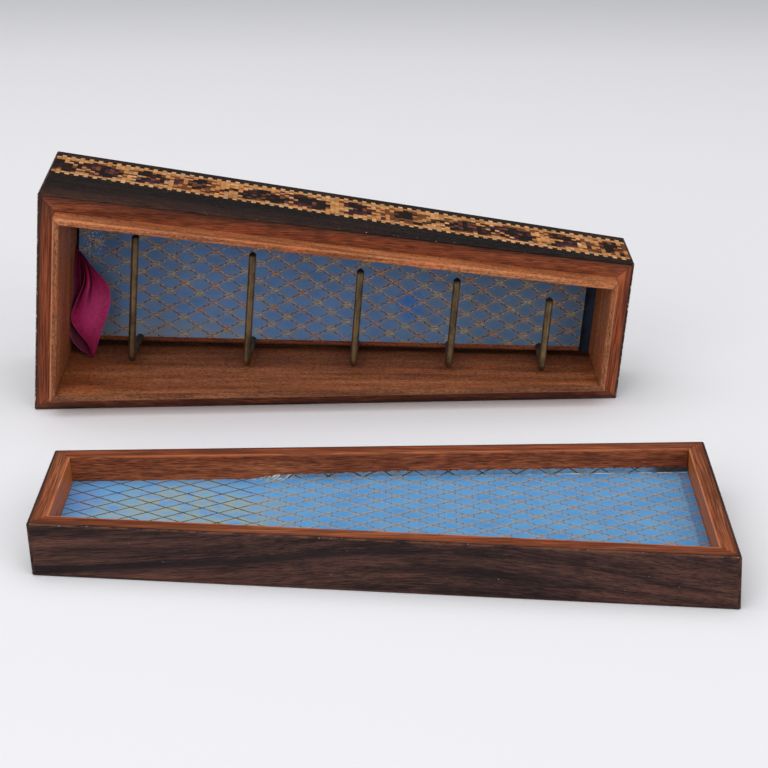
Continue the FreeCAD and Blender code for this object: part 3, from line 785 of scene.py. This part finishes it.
deep_end = patch(run, side, mottle, (199, 8), (9, 12), 0.4)
shaded = noise(spot, (2.4, 1.2, 1), 2.0).fade(0.40, 0.66)
paper = layers(
    paper,
    (bleach * (halo * 0.45 + 0.55), (156, 170, 156)),
    (crisp * tints.fade(0.50, 0.64) * 0.6, (84, 148, 220)),
    (pale_front, (146, 176, 194)),
    (deep_end, (100, 138, 208)),
    (turned * (shaded * 0.4 + 0.45), (100, 102, 94)),
)
print("lid paper: its blue is laid")

# %% Print, wear and painted shade of the lid paper
glint = noise(spot, (0.9, 0.9, 1), 2.0).fade(0.40, 0.60)
crisp_ink = blend(glint, colour(44, 46, 34), colour(98, 84, 56))
ink = layers(colour(100, 100, 96), (crisp, crisp_ink), (turned, (38, 46, 38)))
dust = noise(spot, (1.3, 0.6, 1), 2.0, 0.7).fade(0.40, 0.58)
# Painted shade in a band along the wide end.
end_shade = (run - wide_run + (mottle - 0.5) * 3).fade(2.6, 3.8, 0.42, 0.0) * (1 - turned)
flecks = noise(spot, (0.8, 0.8, 1), 1.0)
# The turned-up edge is darker near the wide end.
darker_end_corner = turned * (run + (mottle - 0.5) * 16).fade(13, 20, 0.85, 0.0)
cracks = noise(spot, (3, 0.5, 1), 2.0).fade(0.48, 0.55)
fold = turned.fade(0.02, 0.3) * turned.fade(0.95, 0.6)
torn = noise((run + side, side * 0.4, turned), (0.7, 2, 1), 2.0).fade(0.52, 0.58)
torn = torn * patch(run, side, mottle, (140, 27.0), (8, 4.0), 1.0)
paper = layers(
    paper,
    (halo * rubbed * dust * (0.85 - single * 0.4), (144, 145, 138)),
    (dark * (rubbed + 0.3).lower_of(1), ink),
    (gilt * glint * (1 - single) * 0.65, (178, 164, 138)),
    (knots * rubbed * (1 - single) * 0.9, (172, 146, 116)),
    (end_shade, (66, 84, 128)),
    (fibres.fade(0.56, 0.72) * 0.3, (158, 184, 206)),
    (flecks.fade(0.76, 0.81) * 0.6, (206, 208, 204)),
    (darker_end_corner, (40, 30, 24)),
    (cracks * fold * run.fade(40, 80, 0.95, 0.2), (226, 216, 190)),
    (torn, (214, 208, 190)),
)
close_finish(start, paper, fibres * 0.2 + 0.6, fibres * 0.5 + dark * 0.5, 0.03, 0.5, Specular_IOR_Level=0.25)
lid_paper.data.materials.append(material)
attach(lid_paper, "lid")
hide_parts("lid_lining_paper")
print("lid paper rides on the lid")

# %% [markdown]
# ## Plain lining paper
# The case bottom, below the rack, is lined with a dark blue paper that shows only in the gap at the narrow
# end. It is a plain paper with a mottle and a fibre bump.

# %% Plain lining paper
material, start = start_finish("dark_lining_paper")
spot = places(start, rack_origin, rack_along, case_across, rack_up)
mottle = noise(spot, (9, 9, 9), 3.0)
fibres = noise(spot, (0.5, 0.5, 0.5), 2.0)
paper = ramp(mottle, (0.3, (24, 30, 44)), (0.7, (44, 56, 80)))
close_finish(start, paper, fibres * 0.2 + 0.65, fibres, 0.03, 0.5, Specular_IOR_Level=0.3)
paint(material, "case_lining_paper")

# %% [markdown]
# ## Aged brass
# The pins are brass wire that has gone dull and olive-brown. New metal shows only as a thin worn patch here
# and there, so the patina covers most of it and takes its metal shine away. The cut tips are the darkest,
# so each pin has a finish of its own that knows how high its tip stands.


# %% Brass
def aged_brass(number):
    material, start = start_finish(f"aged_brass_{number}")
    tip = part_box(f"rack_pin_{number}")[1].z / MILLIMETRE
    spot = places(start, (0, 0, 0), (1, 0, 0), (0, 1, 0), (0, 0, 1))
    clouds = noise(spot, (4, 4, 6), 4.0, 0.6)
    scratches = noise(spot, (0.35, 0.35, 6), 2.0)
    patina = (clouds * 0.7 + scratches * 0.3).fade(0.36, 0.60, 1.0, 0.35)
    tarnish = (spot[2] + clouds * 1.6).fade(tip - 1.4, tip + 0.1, 0.0, 0.9)
    brass = layers(
        blend(patina, colour(146, 122, 86), colour(78, 65, 48)),
        (scratches.fade(0.58, 0.75) * 0.6, (40, 32, 23)),
        (tarnish, (34, 28, 24)),
        # Painted shade on the brass near the paper.
        (near(start, rack_face, 9.0) * 0.75, (46, 38, 30)),
    )
    dull = patina * 0.2 + tarnish * 0.2 + 0.30
    close_finish(start, brass, dull, scratches * 0.6 + clouds * 0.4, 0.05, 0.6, Metallic=0.85)
    return material


for number in range(1, 6):
    paint(aged_brass(number), f"rack_pin_{number}")

# %% [markdown]
# ## Mosaic band
# The band is a mosaic of small squares of many woods, glued up in rods and sliced. It could be a painted
# pattern, but real squares catch light at their edges, so each one is a small tile of its own with a
# chamfer. The border is a row of teeth along a light line. Inside, dark leaves, a curl and a dotted stem
# repeat on a light ground, each a plain shape worked out from the tile's place in the repeat. Each tile
# asks the pattern what wood it is.

# %% Pattern of the band
TILE_ROWS = 13
TILE_COLUMNS = 125
REPEAT = 45
REPEAT_START = 40
TILE_SEED = 7

WOODS = {
    "bog_oak": (30, 23, 25),
    "ebony": (40, 26, 21),
    "purple_wood": (76, 36, 54),
    "walnut": (120, 72, 44),
    "barberry": (218, 154, 92),
    "satinwood": (202, 134, 78),
    "holly": (214, 166, 120),
}
LIGHT_WOODS = ("barberry", "satinwood", "satinwood", "holly", "barberry")


def oval(column, row, middle, reach, turn=0.0):
    """Below 1 inside an oval, counted in tiles."""
    run = (column - middle[0]) * math.cos(turn) + (row - middle[1]) * math.sin(turn)
    side = (row - middle[1]) * math.cos(turn) - (column - middle[0]) * math.sin(turn)
    return math.hypot(run / reach[0], side / reach[1])


def leaf_reach(column, row):
    """Below 1 inside a dark leaf: a heart of two lobes and a point, a round leaf and a pair of slips."""
    point = max(abs(column - 4.6) / (0.01 + 0.9 * max(row - 1.6, 0)), row / 7.5)
    ragged = 0.14 * math.sin(2.1 * column + 1.3 * row) + 0.10 * math.sin(3.7 * row - 0.9 * column)
    shapes = (
        oval(column, row, (2.3, 7.4), (2.7, 2.9)),
        oval(column, row, (6.9, 7.6), (2.5, 2.6)),
        point,
        oval(column, row, (15.6, 6.8), (3.5, 4.1), 0.5),
        oval(column, row, (13.4, 4.0), (2.6, 2.0)),
        oval(column, row, (25.6, 8.2), (3.6, 1.7), -0.4),
        oval(column, row, (25.4, 3.9), (3.2, 1.9), 0.2),
    )
    return min(shapes) + ragged


def tile_wood(column, row, chance):
    """The wood of a tile, from the border's teeth or from its place in the repeat."""
    if row in (0, TILE_ROWS - 1):
        return "holly" if column % 2 else "ebony"
    if row in (1, TILE_ROWS - 2):
        return chance.choice(LIGHT_WOODS)
    spot = (column - REPEAT_START) % REPEAT
    stem = abs((row - 2.5) - (spot - 9.2) * 1.45)
    if stem < 0.9:
        return "purple_wood" if (row + column) % 2 else chance.choice(LIGHT_WOODS)
    if oval(spot, row, (25.6, 8.0), (2.2, 0.8), -0.4) < 1:
        return "purple_wood"
    reach = leaf_reach(spot, row)
    if reach < 1 or (stem < 2.4 and 3 <= row <= 9):
        return chance.choice(("bog_oak", "bog_oak", "bog_oak", "ebony", "ebony", "purple_wood", "walnut"))
    column_reach = oval(spot, row, (35.9, 5.2), (2.1, 3.9)) + 0.2 * math.sin(1.9 * spot + 2.3 * row)
    arch = abs(row - 9.6 + (spot - 38.5) * 0.8)
    if column_reach < 1 or (37 < spot < 44.6 and arch < 1.0):
        return chance.choice(("ebony", "bog_oak", "bog_oak", "walnut"))
    if column_reach < 1.5 or oval(spot, row, (39.6, 3.2), (1.6, 1.3)) < 1:
        return chance.choice(("walnut", "walnut", "satinwood"))
    if reach < 1.3 and chance.random() < 0.45:
        return "walnut"
    if 30.5 < spot < 34 and row > 3:
        return chance.choice(("walnut", "walnut", "satinwood", "purple_wood"))
    return chance.choice(LIGHT_WOODS) if chance.random() > 0.12 else "walnut"


trial = random.Random(TILE_SEED)
light = sum(
    tile_wood(column, row, trial) in LIGHT_WOODS
    for column in range(TILE_COLUMNS)
    for row in range(TILE_ROWS)
)
print("light tiles:", light, "of", TILE_COLUMNS * TILE_ROWS)

# %% [markdown]
# The tiles are laid over the outer face of the band's solid, between its four corners, so they follow its
# place and taper. A colour is kept on each face for the finish to read. A skirt and a back close the piece.

# %% Tiles of the band
band_node = nodes["case_mosaic_band"]
band_points = {tuple(round(x, 7) for x in vertex.co) for vertex in band_node.data.vertices}
by_height = sorted((Vector(point) for point in band_points), key=lambda point: -point.dot(upper_out))
outer = sorted(by_height[:4], key=lambda point: point.dot(upper_run))
wide_back, wide_front = sorted(outer[:2], key=lambda point: -point.y)
narrow_back, narrow_front = sorted(outer[2:], key=lambda point: -point.y)
band_thick = (by_height[0] - by_height[-1]).dot(upper_out)


def on_band(column, row, height=0.0):
    """The point at a column and row, both counted in tiles, at a height above the face, in millimetres."""
    back = wide_back.lerp(narrow_back, column / TILE_COLUMNS)
    front = wide_front.lerp(narrow_front, column / TILE_COLUMNS)
    return back.lerp(front, row / TILE_ROWS) + upper_out * height * MILLIMETRE


TILE_DEPTH, TILE_UNEVEN, GROOVE_DEPTH = 0.02, 0.012, 0.09
CHAMFER = 0.035
GROOVE_SHADE = 0.55
outer_corners = ((0, 0), (1, 0), (1, 1), (0, 1))
inner_corners = [(abs(column - CHAMFER), abs(row - CHAMFER)) for column, row in outer_corners]
points, faces, tones = [], [], []
chance = random.Random(TILE_SEED)
for column in range(TILE_COLUMNS):
    for row in range(TILE_ROWS):
        brightness = chance.uniform(0.84, 1.08)
        tone = colour(*[channel * brightness for channel in WOODS[tile_wood(column, row, chance)]])
        lift = chance.uniform(-TILE_UNEVEN, TILE_UNEVEN) - TILE_DEPTH
        base = len(points)
        points += [on_band(column + c, row + r, -GROOVE_DEPTH) for c, r in outer_corners]
        points += [on_band(column + c, row + r, lift) for c, r in inner_corners]
        faces.append(tuple(base + 4 + corner for corner in range(4)))
        faces += [(base + k, base + (k + 1) % 4, base + 4 + (k + 1) % 4, base + 4 + k) for k in range(4)]
        tones += [tone] + [tuple(channel * GROOVE_SHADE for channel in tone[:3]) + (1.0,)] * 4

skirt = len(points)
rim = ((0, 0), (TILE_COLUMNS, 0), (TILE_COLUMNS, TILE_ROWS), (0, TILE_ROWS))
points += [on_band(*corner, -GROOVE_DEPTH) for corner in rim]
points += [on_band(*corner, -band_thick / MILLIMETRE) for corner in rim]
faces += [(skirt + 4 + k, skirt + 4 + (k + 1) % 4, skirt + (k + 1) % 4, skirt + k) for k in range(4)]
faces.append(tuple(skirt + 7 - k for k in range(4)))
tones += [colour(*WOODS["ebony"])] * 5

mosaic = mesh_piece("mosaic_band", points, faces)
face_tones = mosaic.data.attributes.new("wood_tone", "FLOAT_COLOR", "FACE")
for entry, tone in zip(face_tones.data, tones):
    entry.color = tone
tile_size = (wide_front - wide_back).length / TILE_ROWS / MILLIMETRE
print("mosaic:", TILE_ROWS * TILE_COLUMNS, "tiles of", round(tile_size, 2), "mm")

# %% [markdown]
# All tiles share one finish. It takes the tile's own colour and adds what end grain shows: tiny pores, a
# little mottle and the dullness of old polish.

# %% Finish of the band
material, start = start_finish("mosaic_woods")
spot = places(start, (0, 0, 0), upper_run, case_out, upper_out)
tile = start.node("ShaderNodeAttribute", {"attribute_name": "wood_tone"}, output="Color")
pores = noise(spot, (0.22, 0.5, 0.5), 1.0).fade(0.58, 0.70)
mottle = noise(spot, (3, 3, 3), 3.0)
wood = layers(tile, (pores * 0.45, (40, 26, 20)), (mottle.fade(0.5, 0.75) * 0.35, (84, 54, 34)))
close_finish(start, wood, mottle * 0.2 + 0.3, mottle * 0.3 - pores * 0.5, 0.03, 0.5, Specular_IOR_Level=0.08)
mosaic.data.materials.append(material)
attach(mosaic, "case")
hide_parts("case_mosaic_band")
print("mosaic rides on the case")

# %% [markdown]
# ## Ribbon pull
# A loop of satin ribbon is glued to the end of the rack, to lift it by. It comes up in pleats, falls to one
# side, turns back at its lowest point and returns over itself, so two layers show. A cloth simulation would
# take time and could end anywhere, so the loop is drawn: cross lines from edge to edge are set along its
# path, and a smooth curve runs through them. Near the ends the pleats press it into waves.

# %% Ribbon path
board_end = wall_and_gap / math.cos(depth_lean)


def rack_point(inwards, across, up):
    """A point given inwards from the board's wide edge, across, and up from the board's underside."""
    return rack_origin + (board_end + inwards) * rack_along + across * case_across + up * rack_up


RIBBON_WIDTH = 13.5
under_layer = (
    ((-0.6, 6.0, 1.2), (-0.5, 2.5, 1.2), 0.5),
    ((-0.8, 5.4, 3.6), (1.4, 4.4, 3.6), 0.7),
    ((-0.9, 0.6, 6.2), (5.4, 0.4, 6.0), 0.8),
    ((-0.9, -7.0, 9.0), (9.6, -6.3, 8.5), 0.6),
    ((-0.9, -14.0, 11.5), (11.1, -11.8, 10.5), 0.3),
    ((-0.9, -19.9, 13.4), (10.8, -16.6, 12.5), 0.1),
    ((-0.2, -24.6, 15.0), (10.5, -21.5, 14.5), 0.0),
    ((3.0, -28.2, 16.4), (10.1, -24.9, 16.0), 0.0),
    ((7.6, -30.3, 17.6), (9.7, -28.8, 17.6), 0.0),
)
top_layer = (
    ((8.4, -30.1, 18.7), (9.7, -28.6, 18.7), 0.0),
    ((6.9, -25.8, 18.3), (10.8, -23.5, 17.8), 0.0),
    ((3.5, -22.1, 17.6), (12.1, -18.6, 16.3), 0.0),
    ((0.6, -18.5, 16.8), (13.5, -13.6, 14.7), 0.0),
    ((-0.1, -15.3, 15.6), (14.0, -8.4, 13.1), 0.1),
    ((1.2, -10.8, 13.7), (13.0, -5.0, 11.5), 0.2),
    ((3.2, -4.4, 10.2), (10.1, -2.2, 9.5), 0.5),
    ((2.6, 1.4, 6.8), (5.6, 0.8, 6.6), 0.7),
    ((-0.2, 4.6, 3.4), (1.6, 4.0, 3.4), 0.6),
    ((-0.4, 5.6, 1.2), (-0.3, 3.0, 1.2), 0.5),
)
cross_lines = under_layer + top_layer
left_edge = [rack_point(*line[0]) for line in cross_lines]
right_edge = [rack_point(*line[1]) for line in cross_lines]
pleats = [line[2] for line in cross_lines]
turn_share = (len(under_layer) - 0.5) / (len(cross_lines) - 1)


def between(values, share):
    """A smooth curve through a row of values, at a share from 0 to 1 of the way."""
    place_in_row = share * (len(values) - 1)
    step = min(int(place_in_row), len(values) - 2)
    t = place_in_row - step
    before, a, b, after = (values[min(max(step + k, 0), len(values) - 1)] for k in (-1, 0, 1, 2))
    slope = b - before
    bend = 2 * before - 5 * a + 4 * b - after
    sway = 3 * (a - b) + after - before
    return a + 0.5 * t * (slope + t * (bend + t * sway))


print("ribbon path of", len(cross_lines), "cross lines")

# %% Ribbon mesh
STEPS_ALONG = 150
STEPS_ACROSS = 24
ARCH_SHARE = 0.085
PLEAT_WAVES, PLEAT_SLANT = 15, 5
RIPPLE = 0.12


def ribbon_point(share, across):
    """A point of the ribbon, across from 0 at the left edge to 1 at the right."""
    left, right = between(left_edge, share), between(right_edge, share)
    on_top = 1 if share > turn_share else -1
    width = (right - left).length
    arch = on_top * ARCH_SHARE * width * math.sin(math.pi * across)
    waves = between(pleats, share) * math.sin(across * PLEAT_WAVES + PLEAT_SLANT * share)
    ripple = RIPPLE * math.sin(across * 7 + share * 23) * math.sin(math.pi * across)
    return left.lerp(right, across) + (arch + waves + ripple) * rack_up


points, ribbon_places = [], []
run_so_far = 0.0
shares_across = [k / STEPS_ACROSS for k in range(STEPS_ACROSS + 1)]
for step in range(STEPS_ALONG + 1):
    share = step / STEPS_ALONG
    line = [ribbon_point(share, across) for across in shares_across]
    if points:
        run_so_far += (line[STEPS_ACROSS // 2] - points[-1 - STEPS_ACROSS // 2]).length
    points += line
    ribbon_places += [(RIBBON_WIDTH * (across - 0.5), run_so_far, share) for across in shares_across]
faces = grid_faces(STEPS_ALONG + 1, STEPS_ACROSS + 1)
ribbon = mesh_piece("ribbon_loop", [point * MILLIMETRE for point in points], faces)
ribbon_mesh = ribbon.data
ribbon_mesh.polygons.foreach_set("use_smooth", [True] * len(faces))
write_places(ribbon, "ribbon_place", ribbon_places)
print("ribbon of", round(run_so_far, 1), "by", RIBBON_WIDTH, "mm")

# %% [markdown]
# Satin is woven so that long threads lie on top and shine. The threads follow the ribbon, so the finish reads
# the place along and across it that the mesh kept: fine ribs across and a paler woven edge on both sides. A
# painted highlight lies in the middle of the top layer, and painted shade darkens the tip, the layer
# underneath, the pleats and the root.

# %% Satin
material, start = start_finish("crimson_satin")
spot = read_places(start, "ribbon_place")
across, run, share = spot
rib_gap = 0.62
ribs = (run * (math.tau / rib_gap)).sine() * 0.5 + 0.5
slub = noise(spot, (0.9, 0.4, 1), 2.0, 0.6)
clouds = noise(spot, (5, 7, 1), 2.0)
satin = ramp(clouds, (0.3, (142, 14, 64)), (0.52, (172, 26, 88)), (0.75, (192, 40, 108)))
# A painted highlight in the middle of the top layer, and painted shade at the tip, on the layer underneath,
# in the pleats and at the root.
painted_highlight = abs(across).fade(0.5, 6.2, 1.0, 0.0) * share.fade(0.55, 0.66) * share.fade(0.74, 0.90, 1.0, 0.0)
tip = share.fade(0.50, 0.66, 0.7, 0.0)
painted_under_shade = share.fade(turn_share - 0.05, turn_share, 0.6, 0.0)
painted_pleat_shade = (across * 1.5 + share * 4).sine().fade(0.0, 0.9) * across.fade(-1.5, 4.0, 1.0, 0.0)
painted_root_shade = share.fade(0.80, 0.96)
worn_edge = abs(across).fade(6.2, 6.6)
satin = layers(
    satin,
    (painted_highlight * 0.7, (210, 62, 136)),
    (slub.fade(0.40, 0.64) * 0.45, (212, 74, 136)),
    (ribs * 0.32, (120, 10, 52)),
    (tip, (116, 10, 50)),
    (painted_under_shade, (64, 8, 34)),
    (painted_pleat_shade * share.fade(0.70, 0.82) * 0.9, (40, 4, 18)),
    (painted_root_shade * 0.75, (70, 6, 26)),
    (worn_edge * 0.55, (146, 84, 150)),
)
roughness = slub * 0.15 + 0.4
close_finish(start, satin, roughness, ribs * 0.4 + slub * 0.6, 0.05, 0.6, Specular_IOR_Level=0.15)
ribbon_mesh.materials.append(material)
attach(ribbon, "rack")
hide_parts("ribbon_pull")

# %% [markdown]
# ## Table and light
# The case stands on a plain pale table in soft light. One broad lamp above gives the soft shadow under the
# case and the lid, two more stand in front at both sides and reach the inside, and the pale surroundings do
# the rest. Far behind, the table is painted darker grey, a painted shade for the light falling off there, as
# on a studio sweep. The table's rings and the lamps are given in metres.

# %% Table
RING_SIDES = 48
ring_sizes = (0.25, 0.5, 1.0, 2.0, 4.0)
turns = [math.tau * k / RING_SIDES for k in range(RING_SIDES)]
steps = [(k, (k + 1) % RING_SIDES) for k in range(RING_SIDES)]
points = [(0, 0, 0)]
faces = [(0, 1 + k, 1 + after) for k, after in steps]
for number, size in enumerate(ring_sizes):
    inner, wider = len(points) - RING_SIDES, len(points)
    points += [(size * math.cos(turn), size * math.sin(turn), 0) for turn in turns]
    if number:
        faces += [(inner + k, wider + k, wider + after, inner + after) for k, after in steps]
table = mesh_piece("table", points, faces)

material, start = start_finish("pale_table")
spot = places(start, (0, 0, 0), (1, 0, 0), (0, 1, 0), (0, 0, 1))
grain = noise(spot, (2, 2, 2), 2.0)
# Painted shade: the table darkens far behind, where the light falls off.
top = ramp(spot[1].fade(250, 900), (0.0, (242, 242, 246)), (0.35, (236, 236, 240)), (1.0, (196, 197, 201)))
close_finish(start, top, grain * 0.1 + 0.55, grain, 0.01, 0.2, Specular_IOR_Level=0.2)
table.data.materials.append(material)
print("table of", len(faces), "faces")


# %% Lamps
def lamp(name, where, aim, size, power):
    data = bpy.data.lights.new(name, "AREA")
    data.shape = "RECTANGLE"
    data.size, data.size_y = size
    data.energy = power
    made = bpy.data.objects.new(name, data)
    bpy.context.collection.objects.link(made)
    made.location = where
    made.rotation_euler = (Vector(aim) - Vector(where)).to_track_quat("-Z", "Y").to_euler()
    return made


lamp("broad_lamp", (-0.22, 0.1, 1.4), (-0.05, 0.0, 0), (1.6, 1.4), 7.6)
lamp("left_lamp", (-0.9, -1.5, 0.95), (0, -0.05, 0.03), (1.1, 1.1), 8.4)
lamp("right_lamp", (1.0, -1.4, 0.9), (0, -0.05, 0.03), (1.1, 1.1), 6.4)

world = bpy.data.worlds.new("pale_room")
world.use_nodes = True
world.node_tree.nodes.clear()
start = Thread(world.node_tree)
heading = start.node("ShaderNodeTexCoord", output="Generated")
front_to_back = start.node("ShaderNodeSeparateXYZ", sockets={0: heading}, output="Y").fade(0.0, 0.8)
front_grey, back_grey = (0.70, 0.70, 0.70, 1), (0.10, 0.10, 0.10, 1)
room = blend(front_to_back, front_grey, back_grey)
height = start.node("ShaderNodeSeparateXYZ", sockets={0: heading}, output="Z")
pale_ring = blend(height.fade(0.0, 0.10), colour(226, 226, 231), room)
ray_kinds = ("Camera", "Glossy", "Transmission")
seen, mirrored, through = (start.node("ShaderNodeLightPath", output=f"Is {kind} Ray") for kind in ray_kinds)
room = blend((seen + mirrored + through).lower_of(1), room, pale_ring)
room = start.node("ShaderNodeBackground", sockets={"Color": room, "Strength": 1.0})
start.node("ShaderNodeOutputWorld", sockets={"Surface": room})
bpy.context.scene.world = world
print("lamps:", [thing.name for thing in bpy.data.lights])
